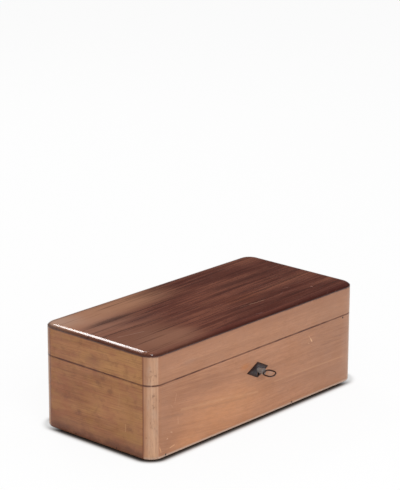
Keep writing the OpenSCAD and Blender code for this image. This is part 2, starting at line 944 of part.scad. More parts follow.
module tube_cradle() {
    x0 = tube_x - tube_cradle_l / 2;
    x1 = tube_x + tube_cradle_l / 2;
    color("#a06d46")
        difference() {
            block(x0, x1, -in_y, divider_y, base_t, base_t + cradle_h);
            along_x(x0 - over, x1 + over, tube_r + play + baize_t);
        }
}

module tube_baize() {
    baize_lining(tube_x - tube_cradle_l / 2, tube_x + tube_cradle_l / 2, tube_r + play, base_t + cradle_h);
}

module trough_divider() {
    color("#94623e")
        block(-in_x, in_x, divider_y, divider_y + divider_t, base_t, base_t + divider_h);
}

module trough_cross(sx) {
    color("#94623e")
        block(sx * cross_x - divider_t / 2, sx * cross_x + divider_t / 2, divider_y + divider_t, in_y,
            base_t, base_t + divider_h);
}

// Block under the lid that keeps the tube down, with its pad
module lid_block() {
    low_z = axis_z + tube_r + play + pad_t;
    color("#a06d46")
        block(tube_x - tube_cradle_l / 2, tube_x + tube_cradle_l / 2,
            axis_y - block_w / 2, axis_y + block_w / 2, low_z, panel_z);
}

module lid_block_pad() {
    low_z = axis_z + tube_r + play;
    color("#2f5a3c")
        block(tube_x - tube_cradle_l / 2, tube_x + tube_cradle_l / 2,
            axis_y - block_w / 2, axis_y + block_w / 2, low_z, low_z + pad_t);
}

case_front_wall();
case_back_wall();
case_end_wall(-1);  // case_left_wall
case_end_wall(1);  // case_right_wall
case_post(-1, -1);  // case_post_front_left
case_post(1, -1);  // case_post_front_right
case_post(-1, 1);  // case_post_back_left
case_post(1, 1);  // case_post_back_right
base_board();
base_pins();
lid_top_panel();
lid_front_wall();
lid_back_wall();
lid_end_wall(-1);  // lid_left_wall
lid_end_wall(1);  // lid_right_wall
lid_post(-1, -1);  // lid_post_front_left
lid_post(1, -1);  // lid_post_front_right
lid_post(-1, 1);  // lid_post_back_left
lid_post(1, 1);  // lid_post_back_right
hinge_leaf(-1, -1);  // hinge_left_case_leaf
hinge_leaf(-1, 1);  // hinge_left_lid_leaf
hinge_pin(-1);  // hinge_left_pin
hinge_leaf(1, -1);  // hinge_right_case_leaf
hinge_leaf(1, 1);  // hinge_right_lid_leaf
hinge_pin(1);  // hinge_right_pin
hinge_screws(-1);  // hinge_case_screws
hinge_screws(1);  // hinge_lid_screws
lock_case();
lock_cap();
lock_selvedge();
lock_bolt();
lock_spring();
lock_drill_pin();
lock_screws();
link_plate();
link_plate_screws();
escutcheon();
escutcheon_pins();
key();
foot_chock(-1);  // foot_chock_front
foot_chock(1);  // foot_chock_back
foot_board();
stage_cradle();
stage_baize();
tube_cradle();
tube_baize();
trough_divider();
trough_cross(-1);  // trough_cross_left
trough_cross(1);  // trough_cross_right
lid_block();
lid_block_pad();
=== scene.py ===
"""Looks of the wooden case: finishes of the CAD pieces, felt linings, floor, light and camera."""
import math

import bmesh
import bpy
from mathutils import Matrix, Vector, noise


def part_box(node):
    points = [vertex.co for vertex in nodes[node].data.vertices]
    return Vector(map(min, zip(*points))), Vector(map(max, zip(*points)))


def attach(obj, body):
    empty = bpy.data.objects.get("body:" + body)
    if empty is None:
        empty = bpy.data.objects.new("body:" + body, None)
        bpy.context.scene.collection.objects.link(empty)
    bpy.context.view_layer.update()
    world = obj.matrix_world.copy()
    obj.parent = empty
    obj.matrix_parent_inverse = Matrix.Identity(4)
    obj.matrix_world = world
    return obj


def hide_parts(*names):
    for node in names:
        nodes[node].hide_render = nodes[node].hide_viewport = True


MM = 0.001

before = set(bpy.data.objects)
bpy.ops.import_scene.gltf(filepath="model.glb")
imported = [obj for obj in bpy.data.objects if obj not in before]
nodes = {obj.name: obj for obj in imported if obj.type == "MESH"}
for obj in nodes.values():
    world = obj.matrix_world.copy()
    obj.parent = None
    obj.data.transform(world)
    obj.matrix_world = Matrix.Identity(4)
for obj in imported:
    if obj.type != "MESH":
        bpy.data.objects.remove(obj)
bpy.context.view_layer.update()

# Sizes of the case that the finishes follow, in millimetres from the middle of its underside:
# half the length and depth, joints of the posts, inner faces of the walls, heights, the key's axis,
# radius of the upright corners, half the length and height of the lozenge
HALF_L, HALF_D = 135.0, 64.0
JOINT_X, JOINT_Y = 126.3, 54.2
INNER_X, INNER_Y = 124.0, 53.0
SEAM_Z, PANEL_Z, TOP_Z = 65.0, 90.0, 93.0
KEY_X, KEY_Z = -1.2, 45.2
CORNER_R = 12.5
LOZENGE = (14.1, 7.2)


def rgb(text):
    """Linear colour from a hexadecimal one as it is seen on a screen."""
    out = []
    for i in (0, 2, 4):
        c = int(text[i:i + 2], 16) / 255
        out.append(c / 12.92 if c <= 0.04045 else ((c + 0.055) / 1.055) ** 2.4)
    return (*out, 1.0)


class Graph:
    """Node calls that make nodes in one tree and return their output sockets."""

    def __init__(self, tree):
        self.tree = tree

    def node(self, kind, *values, **settings):
        made = self.tree.nodes.new(kind)
        for key, value in settings.items():
            setattr(made, key, value)
        for socket, value in zip(made.inputs, values):
            self.put(socket, value)
        return made

    def put(self, socket, value):
        if isinstance(value, bpy.types.NodeSocket):
            self.tree.links.new(value, socket)
        elif value is not None:
            socket.default_value = value

    def math(self, operation, a, b=None, c=None):
        return self.node("ShaderNodeMath", a, b, c, operation=operation).outputs[0]

    def times(self, *factors):
        out = factors[0]
        for f in factors[1:]:
            out = self.math("MULTIPLY", out, f)
        return out

    def most(self, *values):
        out = values[0]
        for v in values[1:]:
            out = self.math("MAXIMUM", out, v)
        return out

    def between(self, share, a, b):
        """The number a where share is 0 and b where it is 1."""
        made = self.node("ShaderNodeMix", share, data_type="FLOAT")
        self.put(made.inputs[2], a)
        self.put(made.inputs[3], b)
        return made.outputs[0]

    def smooth(self, value, low, high, at_low=0.0, at_high=1.0):
        """Runs smoothly from at_low where value is low to at_high where value is high."""
        return self.node("ShaderNodeMapRange", value, low, high, at_low, at_high,
                         interpolation_type="SMOOTHSTEP").outputs[0]


class Shader(Graph):
    """One node material. Lengths in its calls are in millimetres."""

    def __init__(self, name):
        self.material = bpy.data.materials.new(name)
        self.material.use_nodes = True
        super().__init__(self.material.node_tree)
        self.surface = self.tree.nodes["Principled BSDF"]
        self.place = self.node("ShaderNodeTexCoord").outputs["Object"]
        axes = self.node("ShaderNodeSeparateXYZ", self.place).outputs
        self.x, self.y, self.z = axes[0], axes[1], axes[2]
        self.flow = self.place

    def set(self, name, value):
        self.put(self.surface.inputs[name], value)

    def size(self, axis):
        """Distance from the middle of the case along that axis."""
        return self.math("ABSOLUTE", axis)

    def over(self, axis, low, high):
        """From 0 where that coordinate is low to 1 where it is high."""
        if high < low:
            return self.smooth(axis, high * MM, low * MM, 1.0, 0.0)
        return self.smooth(axis, low * MM, high * MM)

    def noise(self, size, seed=0.0, detail=3.0, rough=0.5, warp=0.0, turn=(0, 0, 0)):
        """Noise whose features have that size along each axis, turned by degrees."""
        spread = (size,) * 3 if isinstance(size, (int, float)) else size
        at = self.node("ShaderNodeMapping", self.flow, vector_type="TEXTURE")
        at.inputs["Location"].default_value = (seed * 0.131, seed * 0.277, seed * 0.419)
        at.inputs["Rotation"].default_value = [math.radians(a) for a in turn]
        at.inputs["Scale"].default_value = [s * MM for s in spread]
        made = self.node("ShaderNodeTexNoise")
        self.put(made.inputs["Vector"], at.outputs[0])
        for key, value in (("Scale", 1.0), ("Detail", detail), ("Roughness", rough), ("Distortion", warp)):
            made.inputs[key].default_value = value
        return made.outputs["Fac"]

    def mix(self, share, a, b):
        """The colour a where share is 0 and b where it is 1."""
        made = self.node("ShaderNodeMix", share, data_type="RGBA")
        self.put(made.inputs[6], a)
        self.put(made.inputs[7], b)
        return made.outputs[2]

    def ramp(self, value, *stops):
        """Colour that follows the value through stops of a place and a colour."""
        made = self.node("ShaderNodeValToRGB", value)
        bands = made.color_ramp.elements
        while len(bands) < len(stops):
            bands.new(0.5)
        for band, (at, colour) in zip(bands, stops):
            band.position, band.color = at, rgb(colour)
        return made.outputs[0]

    def spot(self, centre, radius, soft=0.6):
        """1 round a point, 0 beyond the radius. A radius of three numbers stretches it along the axes."""
        radii = (radius,) * 3 if isinstance(radius, (int, float)) else radius
        at = self.node("ShaderNodeMapping", self.place, vector_type="TEXTURE")
        at.inputs["Location"].default_value = [c * MM for c in centre]
        at.inputs["Scale"].default_value = [r * MM for r in radii]
        far = self.node("ShaderNodeVectorMath", at.outputs[0], operation="LENGTH").outputs["Value"]
        return self.smooth(far, 1.0 - soft, 1.0, 1.0, 0.0)

    def stroke(self, start, end, width):
        """1 along the line from start to end, 0 beyond half that width."""
        a, b = Vector(start) * MM, Vector(end) * MM
        along = b - a
        rel = self.node("ShaderNodeVectorMath", self.place, tuple(a), operation="SUBTRACT").outputs[0]
        dot = self.node("ShaderNodeVectorMath", rel, tuple(along / along.length_squared),
                        operation="DOT_PRODUCT").outputs["Value"]
        part = self.node("ShaderNodeClamp", dot, 0.0, 1.0).outputs[0]
        step = self.node("ShaderNodeVectorMath", tuple(along), operation="SCALE")
        self.put(step.inputs["Scale"], part)
        off = self.node("ShaderNodeVectorMath", rel, step.outputs[0], operation="SUBTRACT").outputs[0]
        far = self.node("ShaderNodeVectorMath", off, operation="LENGTH").outputs["Value"]
        return self.smooth(far, width * 0.15 * MM, width * 0.5 * MM, 1.0, 0.0)

    def tint(self, colour, share, wanted, amount=1.0):
        """The colour, moved towards the wanted one by share times amount."""
        return self.mix(self.times(share, amount), colour, wanted)

    def bump(self, height, strength, depth):
        made = self.node("ShaderNodeBump")
        for key, value in (("Strength", strength), ("Distance", depth * MM), ("Height", height)):
            self.put(made.inputs[key], value)
        return made.outputs[0]

    def on(self, *names):
        """Gives the finish to these pieces."""
        for name in names:
            piece = nodes[name] if isinstance(name, str) else name
            piece.data.materials.clear()
            piece.data.materials.append(self.material)
        return self


# Roughness of the bare wood inside
BARE_ROUGH = 0.62


class Wood(Shader):
    """Mahogany with its grain along one axis.

    tones are dark, middle and light, and lean turns the figure by degrees. fall is the slope at which
    the grain of a front drops from the left end to the middle, below the seam.
    """

    def __init__(self, name, grain, tones, seed, lean=(0, 0, 0), figure=1.0, pores=0.5, fibre=0.25,
                 fall=0.0):
        super().__init__(name)
        if fall:
            left = self.math("SMOOTH_MIN", self.math("ADD", self.x, 25 * MM), 0.0, 30 * MM)
            drop = self.times(left, self.over(self.z, 74, 48), fall)
            height = self.math("ADD", self.z, drop)
            self.flow = self.node("ShaderNodeCombineXYZ", self.x, self.y, height).outputs[0]
        self.grain, self.seed, self.inner = grain, seed, None
        cloud = self.smooth(self.noise(self.along(120, 26), seed, 3, 0.5, 0.3, lean), 0.32, 0.68)
        bands = self.smooth(self.noise(self.along(170, 7), seed + 1, 4, 0.55, 0.5, lean), 0.3, 0.7)
        fine = self.smooth(self.noise(self.along(60, 1.6), seed + 2, 3, 0.6, 0.2, lean), 0.3, 0.7)
        lines = self.math("ADD", self.times(bands, 0.32), self.times(fine, 0.32))
        tone = self.math("ADD", self.times(cloud, 0.36), lines)
        tone = self.math("ADD", self.times(self.math("SUBTRACT", tone, 0.5), figure), 0.5)
        dark, middle, light = tones
        self.colour = self.ramp(tone, (0.1, dark), (0.5, middle), (0.9, light))
        self.fibre = self.noise(self.along(26, 0.45), seed + 3, 2, 0.5, 0.0, lean)
        self.colour = self.tint(self.colour, self.smooth(self.fibre, 0.45, 0.75), rgb(dark), fibre)
        self.pore = self.smooth(self.noise(self.along(7, 0.28), seed + 4, 1, 0.5, 0.0, lean), 0.6, 0.72)
        self.colour = self.tint(self.colour, self.pore, rgb("3a1f14"), pores)
        self.mottle = self.noise(self.along(9, 5), seed + 5, 4, 0.6)
        self.colour = self.tint(self.colour, self.smooth(self.mottle, 0.5, 0.72), rgb(dark), 0.3)

    def along(self, length, width):
        """Size of features that are long with the grain."""
        return tuple(length if axis == self.grain else width for axis in "XYZ")

    def paint(self, share, colour, amount=1.0):
        self.colour = self.tint(self.colour, share, rgb(colour), amount)

    def near(self, axis, value, low, high):
        """1 beside that distance from the middle of the case, 0 from high millimetres off it."""
        off = self.math("ABSOLUTE", self.math("SUBTRACT", self.size(axis), value * MM))
        return self.smooth(off, low * MM, high * MM, 1.0, 0.0)

    def joints(self, amount_end=0.6, amount_long=0.3):
        """Hairlines where the posts meet the walls, dark on the ends and pale along the front and back,
        and painted shade in patches along the seam and under the top."""
        on_end, on_long = self.over(self.size(self.x), 128, 130), self.over(self.size(self.y), 59, 61)
        self.paint(self.times(self.near(self.y, JOINT_Y, 0.15, 1.1), on_end), "6b3320", amount_end)
        self.paint(self.times(self.near(self.x, JOINT_X, 0.1, 0.9), on_long), "c49a80", amount_long)
        outer = self.most(self.over(self.size(self.x), 131, 132), self.over(self.size(self.y), 60, 61.2))
        grime_and_shade = self.smooth(self.noise(self.along(14, 14), self.seed + 6, 3), 0.35, 0.6, 0.55, 1.0)
        grime_and_shade = self.times(grime_and_shade, outer)
        # Painted shade: the seam's gap and the line under the top panel darken on the outer faces, in patches
        self.paint(self.times(self.near(self.z, SEAM_Z, 0.3, 1.2), grime_and_shade), "4e1f14", 0.85)
        self.paint(self.times(self.near(self.z, PANEL_Z, 0.2, 1.1), grime_and_shade), "55261a", 0.8)

    def inside(self):
        """Bare, rougher wood on the faces towards the inside."""
        in_x = self.over(self.size(self.x), INNER_X + 0.6, INNER_X + 0.1)
        in_y = self.over(self.size(self.y), INNER_Y + 0.6, INNER_Y + 0.1)
        self.inner = self.times(in_x, in_y)
        self.paint(self.inner, "a8744e", 0.35)

    def finish(self, rough=(0.32, 0.5), specular=0.4, depth=0.12):
        """Connects the colour, a worn polish between two roughnesses, and the relief of fibres and pores."""
        wear = self.smooth(self.noise(22, self.seed + 7, 4, 0.6), 0.35, 0.65, *rough)
        if self.inner is not None:
            polished = self.times(wear, self.math("SUBTRACT", 1.0, self.inner))
            wear = self.math("ADD", polished, self.times(self.inner, BARE_ROUGH))
        self.set("Base Color", self.colour)
        self.set("Roughness", wear)
        self.set("Specular IOR Level", specular)
        height = self.math("SUBTRACT", self.times(self.fibre, 0.5), self.pore)
        height = self.math("ADD", height, self.times(self.mottle, 0.6))
        self.set("Normal", self.bump(height, 0.35, depth))
        return self


# Marks on the front: x and z of the start and the end, width, colour, share
FRONT_MARKS = (
    ((71.2, 54.8), (73.2, 51.8), 1.5, "dfb48c", 0.85),
    ((68.8, 58), (71.2, 54.8), 1.0, "cfa07a", 0.5),
    ((68, 51.5), (69.5, 50.6), 1.2, "cfa07a", 0.4),
    ((-126, 35.8), (-97, 31.9), 3.2, "946a50", 0.35),
    ((-82, 31.5), (-16, 23.9), 3.0, "a0714f", 0.35),
    ((-98.6, 36.2), (-48.6, 31.2), 3.0, "c6956c", 0.35),
    ((-48.6, 31.2), (-0.7, 24.6), 2.6, "c6956c", 0.35),
    ((22, 28), (118, 26), 2.2, "c4926c", 0.35),
    ((-104.5, 52.2), (-106.7, 44.4), 0.8, "cf9f80", 0.4),
    ((-111.8, 44.4), (-109.3, 41.5), 0.8, "cf9f80", 0.35),
    ((-102.9, 30.1), (-102.5, 24.8), 1.1, "cfa07c", 0.4),
    ((-125.3, 52.5), (-124.8, 50.5), 1.2, "7d5545", 0.5),
    ((-111.6, 20.2), (-110, 19.6), 1.3, "d6a986", 0.6),
    ((-116.3, 15.4), (-115.4, 15.6), 1.3, "dcb494", 0.65),
    ((-112.6, 6.5), (-107.3, 7.6), 1.4, "dcae84", 0.55),
    ((-124.9, 10), (-123.6, 6.2), 1.6, "dba778", 0.55),
    ((-125.6, 13), (-124.6, 11), 1.0, "d2a37c", 0.4),
)
# Heads of the two pins that show at the front's foot
PIN_HEADS_X, PIN_HEADS_Z = (-118, 46), 2.1


def front_wood(name, face, seed):
    """Front and back: paler and pinker to the right, warm at the lower left. Only the front has marks."""
    s = Wood(name, "X", ("966447", "aa7656", "bb8564"), seed, figure=0.8, pores=0.3, fall=0.12)
    y = face * HALF_D
    s.paint(s.spot((-45, y, 20), (88, 30, 34), 0.9), "c8895a", 0.55)
    s.paint(s.over(s.x, 40, 100), "a0745a", 0.4)
    s.paint(s.over(s.x, 112, 128), "b8917c", 0.35)
    s.paint(s.over(s.x, -95, -128), "a0745a", 0.3)
    s.paint(s.over(s.z, SEAM_Z - 1, SEAM_Z + 1), "a4765a", 0.25)
    s.paint(s.over(s.z, 76, 88), "98664a", 0.4)
    s.paint(s.spot((-90, y, 6), (30, 12, 12), 0.9), "cc9066", 0.5)
    lines = s.smooth(s.noise((28, 30, 1.1), seed + 8, 3, 0.65, 0.1, (0, 2, 0)), 0.52, 0.66)
    s.paint(s.times(lines, s.spot((92, y, 50), (46, 30, 22), 0.6)), "7d5240", 0.55)
    streaks = s.smooth(s.noise((60, 30, 3), seed + 9, 3, 0.5, 0.3), 0.56, 0.7)
    s.paint(s.times(streaks, s.over(s.x, 20, -60)), "cf9c74", 0.22)
    if face < 0:
        s.paint(s.spot((-18, y, 52), (9, 8, 4.5), 0.95), "b8703a", 0.55)
        # Painted shadow of the key's bow: a greyish patch on the wood behind it
        s.paint(s.spot((15.6, y, 37), (6, 8, 3.5), 0.9), "a08878", 0.5)
        for (x0, z0), (x1, z1), width, colour, share in FRONT_MARKS:
            s.paint(s.stroke((x0, y, z0), (x1, y, z1), width), colour, share)
        for x in PIN_HEADS_X:
            s.paint(s.spot((x, y, PIN_HEADS_Z), (1.3, 4, 1.5), 0.6), "1c0f0a", 0.9)
        s.paint(s.spot((117, y, 63.2), 1.15, 0.5), "120b08", 1.0)
        s.paint(s.spot((-88, y, 76), (16, 8, 3.5), 0.9), "8f6a58", 0.4)
    mottle = s.smooth(s.noise((9, 6, 2.4), seed + 12, 4, 0.65), 0.4, 0.62)
    s.paint(mottle, "97684c", 0.22)
    # Painted reflection: a pale pinkish-grey band on the rounded foot, as the white floor shows in it
    s.paint(s.over(s.z, 3.0, 1.5), "c2a897", 0.8)
    s.joints()
    s.inside()
    return s.finish()


front_wood("wood_front", -1, 3.0).on("case_front_wall", "lid_front_wall")
front_wood("wood_back", 1, 17.0).on("case_back_wall", "lid_back_wall")


# Knots on the ends: y, z, radius
KNOTS = ((-8.8, 60.4, 5), (35.3, 34.9, 6), (21, 22.7, 5.5), (-17, 50, 4.5), (-3, 55, 4))
# Lines on the ends: y and z of the start and the end, width, colour, share
END_MARKS = (
    ((52, 24.0), (10, 27.5), 0.8, "6a4030", 0.3),
    ((30, 12.5), (-48, 14.5), 0.8, "6a4232", 0.25),
    ((-34.8, 26), (-34.4, 19.5), 0.9, "c79c70", 0.4),
    ((-28, 52), (-27, 40), 0.9, "b88f60", 0.2),
)


def end_wood(name, side, seed):
    """Ends: olive brown towards the front, redder to the back, dark and blotchy along the foot."""
    s = Wood(name, "Y", ("84502f", "9d6841", "b07a4d"), seed, lean=(side * 1.5, 0, 0), figure=0.95,
             pores=0.35)
    x = side * HALF_L
    s.paint(s.over(s.y, 15, -40), "a87744", 0.4)
    s.paint(s.times(s.over(s.y, 10, -40), s.over(s.z, 60, 70)), "ad7b48", 0.3)
    s.paint(s.over(s.y, 15, 52), "955f40", 0.4)
    s.paint(s.spot((x, -10, 38), (8, 36, 26), 0.9), "b9804e", 0.4)
    s.paint(s.spot((x, 2, 73), (8, 14, 8), 0.9), "7c5034", 0.5)
    s.paint(s.times(s.over(s.y, 18, 42), s.over(s.z, 20, 8)), "744831", 0.45)
    blotch = s.smooth(s.noise((20, 9, 7), seed + 8, 4, 0.6, 0.4), 0.5, 0.68)
    s.paint(blotch, "74452c", 0.38)
    hue = s.noise((30, 24, 9), seed + 11, 4, 0.6, 0.3)
    s.paint(s.smooth(hue, 0.5, 0.64), "a67c40", 0.2)
    s.paint(s.smooth(hue, 0.5, 0.36), "90503a", 0.3)
    for y, z, r in KNOTS:
        knot = s.times(s.spot((x, y, z), (8, r * 1.5, r), 0.9), s.smooth(s.mottle, 0.35, 0.6))
        s.paint(knot, "6a3e2e", 0.55)
    hairs = s.smooth(s.noise((30, 34, 0.8), seed + 10, 3, 0.65, 0.1, (side * 1.5, 0, 0)), 0.52, 0.64)
    s.paint(hairs, "6e4228", 0.4)
    for start, end, width, colour, share in END_MARKS:
        s.paint(s.stroke((x, *start), (x, *end), width), colour, share)
    ragged = s.math("SUBTRACT", s.noise((20, 16, 9), seed + 9, 4, 0.6), 0.5)
    low = s.math("ADD", s.z, s.times(ragged, 14 * MM))
    s.paint(s.over(low, 18, 5), "80503a", 0.6)
    s.paint(s.over(low, 8, 2.5), "5c3628", 0.65)
    s.joints()
    s.inside()
    return s.finish(rough=(0.34, 0.52), specular=0.35)


end_wood("wood_left", -1, 31.0).on("case_left_wall", "lid_left_wall")
end_wood("wood_right", 1, 43.0).on("case_right_wall", "lid_right_wall")


def post_wood():
    """Posts: upright grain, greyed and spotted, darker towards the ends and the front."""
    s = Wood("wood_post", "Z", ("9c7256", "b58a6c", "c89f80"), 57.0, figure=0.9, pores=0.45, fibre=0.35)
    grey = s.smooth(s.noise((7, 7, 12), 61.0, 4, 0.6), 0.45, 0.66)
    s.paint(grey, "ab8f7c", 0.35)
    spots = s.times(s.smooth(s.mottle, 0.52, 0.66), s.smooth(s.noise(3, 62.0, 3), 0.5, 0.64))
    s.paint(spots, "5c3a2c", 0.5)
    wide, deep = s.size(s.x), s.size(s.y)
    s.paint(s.over(wide, 132.4, 134.7), "9c653f", 0.7)
    s.paint(s.times(s.over(wide, 130.5, 134.2), s.over(s.z, 62, 68)), "8f6246", 0.3)
    s.paint(s.over(wide, 134.2, 134.97), "6e4027", 0.8)
    s.paint(s.over(deep, 63.0, 63.95), "a57653", 0.8)
    s.paint(s.over(s.z, 10, 3), "b98a66", 0.3)
    # Painted reflection: a pale greyish band on the rounded foot, as the white floor shows in it
    s.paint(s.over(s.z, 3.0, 1.5), "b09888", 0.6)
    s.joints(0.6, 0.35)
    s.inside()
    return s.finish(rough=(0.3, 0.45), specular=0.45)


post_wood().on(*[f"{part}_post_{end}_{side}" for part in ("case", "lid")
                 for end in ("front", "back") for side in ("left", "right")])


# Scratches on the top: x and y of the start and the end, width, colour, share
TOP_MARKS = (
    ((20, -36.2), (38, -37.4), 0.8, "b98d76", 0.8),
    ((9, -35), (21, -36.5), 0.7, "a87a64", 0.5),
    ((74.7, -28.7), (82, -29.8), 0.8, "a07870", 0.6),
    ((57.8, -38), (67, -35), 0.7, "8e6660", 0.5),
    ((4, -57), (10, -59), 0.8, "96706a", 0.6),
    ((-120, -12), (-94, -17.6), 0.7, "b5907e", 0.6),
    ((48, -8), (88, -16), 0.5, "8a5a4e", 0.5),
    ((40, 2), (72, -3), 0.5, "8a5a4e", 0.4),
)


def top_wood():
    """Polished top: crimson brown, paler at the left partly through a painted reflection, with dark streaks,
    scratches and a dark edge.
    """
    s = Wood("wood_top", "X", ("52261c", "6d3e31", "86523f"), 71.0, lean=(0, 0, 2.0), figure=1.1,
             pores=0.4, fibre=0.4)
    z = TOP_Z
    # Paler at the left and towards the back: partly the wood's own tone, partly a painted reflection of a
    # pale surrounding
    pale = s.times(s.over(s.x, -38, -108), s.over(s.y, -40, 42))
    s.paint(pale, "a57660", 0.85)
    s.paint(s.spot((-92, -42, z), (44, 22, 9), 0.9), "a9785f", 0.6)
    s.paint(s.times(s.over(s.x, 25, -55), s.over(s.y, 20, 42)), "ac7c60", 0.9)
    s.paint(s.times(s.over(s.x, -95, -125), s.over(s.y, 25, 55)), "b89886", 0.7)
    s.paint(s.times(s.over(s.x, -45, -95), s.over(s.y, 5, -25)), "8a5e4a", 0.7)
    s.paint(s.spot((-92, 23, z), (44, 7, 9), 0.8), "4a2c24", 0.75)
    s.paint(s.spot((-75, 8, z), (34, 8, 9), 0.9), "56302a", 0.55)
    s.paint(s.spot((70, 14, z), (66, 8, 9), 0.8), "42201a", 0.55)
    s.paint(s.spot((30, -20, z), (40, 16, 9), 0.9), "6e3a24", 0.35)
    streak = s.smooth(s.noise((90, 2.6, 20), 74.0, 4, 0.6, 0.2, (0, 0, 2)), 0.52, 0.66)
    s.paint(streak, "341812", 0.5)
    s.paint(s.over(s.size(s.y), 55, 62), "5c3430", 0.35)
    for start, end, width, colour, share in TOP_MARKS:
        s.paint(s.stroke((*start, z), (*end, z), width), colour, share)
    s.paint(s.spot((96.4, -43.8, z), 1.5, 0.7), "b08478", 0.7)
    # The rounded edge darkens downwards, with painted shade at its lowest lip where it sits on the walls
    s.paint(s.over(s.z, PANEL_Z + 2.95, PANEL_Z + 1.2), "331510", 0.75)
    s.paint(s.over(s.z, PANEL_Z + 1.0, PANEL_Z + 0.2), "24100c", 0.7)
    scuff = s.smooth(s.noise((14, 0.7, 5), 77.0, 3, 0.6, 0.0, (0, 0, 24)), 0.6, 0.72)
    s.paint(scuff, "8e6258", 0.2)
    s.inner = s.times(s.over(s.z, PANEL_Z + 0.3, PANEL_Z + 0.1),
                      s.over(s.size(s.x), INNER_X + 0.3, INNER_X - 0.1),
                      s.over(s.size(s.y), INNER_Y + 0.3, INNER_Y - 0.1))
    s.paint(s.inner, "8a5a3e", 0.7)
    return s.finish(rough=(0.07, 0.15), specular=0.5, depth=0.008)


top_wood().on("lid_top_panel")


def plain_wood(name, grain, tones, seed):
    """Unpolished wood of the bottom board and the fittings."""
    s = Wood(name, grain, tones, seed)
    dirt = s.smooth(s.noise(18, seed + 8, 4, 0.6), 0.48, 0.7)
    s.paint(dirt, "5f3d2a", 0.3)
    return s.finish(rough=(0.5, 0.68), specular=0.3, depth=0.15)


FITTING_TONES = ("7c4c30", "9a643e", "b07a4e")
plain_wood("wood_base", "X", ("7a4e34", "94653f", "a87a50"), 83.0).on("base_board")
plain_wood("wood_fittings_long", "X", FITTING_TONES, 89.0).on("trough_divider", "lid_block")
plain_wood("wood_fittings_cross", "Y", FITTING_TONES, 97.0).on(
    "foot_chock_front", "foot_chock_back", "foot_board", "stage_cradle", "tube_cradle",
    "trough_cross_left", "trough_cross_right")


# Size of the brush marks on metal
BRUSHED = (12, 0.5, 12)


def metal(name, base, worn, dirt, rough, seed, dirt_share=0.5, metallic=1.0, coat=None, rim=False):
    """Old metal: base colour, worn bright places and dirt in a cloudy pattern, with fine brush marks.

    coat is the coordinate along which a darker coat sets in, where it starts and is full, its colour
    and its share. rim browns the lozenge's edge.
    """
    s = Shader(name)
    cloud = s.noise(5, seed, 4, 0.6, 0.2)
    colour = s.mix(s.smooth(cloud, 0.45, 0.65), rgb(base), rgb(worn))
    grime_and_shade = s.smooth(s.noise(3.2, seed + 1, 5, 0.65), 0.5, 0.66)
    colour = s.tint(colour, grime_and_shade, rgb(dirt), dirt_share)
    if coat:
        axis, start, full, coat_colour, share = coat
        colour = s.tint(colour, s.over(getattr(s, axis), start, full), rgb(coat_colour), share)
    if rim:
        wide = s.times(s.size(s.math("SUBTRACT", s.x, KEY_X * MM)), 1 / LOZENGE[0])
        tall = s.times(s.size(s.math("SUBTRACT", s.z, KEY_Z * MM)), 1 / LOZENGE[1])
        edge = s.smooth(s.math("ADD", wide, tall), 0.5 * MM, 0.85 * MM)
        colour = s.tint(colour, edge, rgb("2e130a"), 0.9)
    marks = s.noise(BRUSHED, seed + 2, 3, 0.6)
    s.set("Base Color", colour)
    s.set("Metallic", metallic)
    wear = s.math("ADD", s.smooth(cloud, 0.3, 0.7, *rough), s.times(grime_and_shade, 0.2))
    s.set("Roughness", wear)
    s.set("Normal", s.bump(s.math("ADD", s.times(marks, 0.6), s.times(grime_and_shade, -0.5)), 0.3, 0.04))
    return s


metal("brass_hinges", "b08a44", "d2ac62", "5a4220", (0.24, 0.4), 101.0).on(
    *[f"hinge_{side}_{part}" for side in ("left", "right") for part in ("case_leaf", "lid_leaf")])
metal("brass_lock", "a8853f", "caa65c", "54401f", (0.28, 0.42), 107.0).on(
    "lock_case", "lock_cap", "lock_selvedge", "link_plate")
metal("brass_screws", "a07c3c", "c8a35a", "3f2e16", (0.3, 0.45), 113.0).on(
    "hinge_case_screws", "hinge_lid_screws", "lock_screws", "link_plate_screws",
    "hinge_left_pin", "hinge_right_pin")
metal("iron_escutcheon", "3d3436", "544a4e", "241a18", (0.34, 0.5), 127.0, 0.6, 0.5, rim=True).on(
    "escutcheon")
metal("iron_pins", "241d1a", "3a302a", "120c0a", (0.5, 0.7), 131.0, 0.6, 0.5).on(
    "base_pins", "escutcheon_pins")
metal("steel_key", "8f8783", "a39c98", "5c514c", (0.36, 0.5), 137.0, 0.5, 0.4,
      coat=("y", -71.6, -72.3, "3a2016", 0.92)).on("key")
metal("steel_lock", "7c7a78", "a5a3a0", "4a3a2c", (0.3, 0.45), 139.0, 0.6).on(
    "lock_bolt", "lock_spring", "lock_drill_pin")


def felt():
    """Green baize: short fibres, slight fading and crushed places."""
    s = Shader("felt_green")
    fade = s.smooth(s.noise(14, 151.0, 3, 0.6), 0.35, 0.68)
    colour = s.mix(fade, rgb("1f4a33"), rgb("38664a"))
    nap = s.noise(0.5, 152.0, 4, 0.75)
    colour = s.tint(colour, s.smooth(nap, 0.45, 0.7), rgb("173526"), 0.6)
    hairs = s.smooth(s.noise((0.9, 0.22, 0.9), 153.0, 2, 0.6, 1.5), 0.62, 0.72)
    colour = s.tint(colour, hairs, rgb("7f9a7c"), 0.3)
    s.set("Base Color", colour)
    s.set("Roughness", s.smooth(nap, 0.3, 0.7, 0.85, 1.0))
    s.set("Sheen Weight", 0.35)
    s.set("Sheen Roughness", 0.5)
    s.set("Sheen Tint", rgb("7fa58a"))
    s.set("Specular IOR Level", 0.15)
    s.set("Normal", s.bump(nap, 0.7, 0.25))
    return s


green = felt().on("stage_baize", "tube_baize", "lid_block_pad")


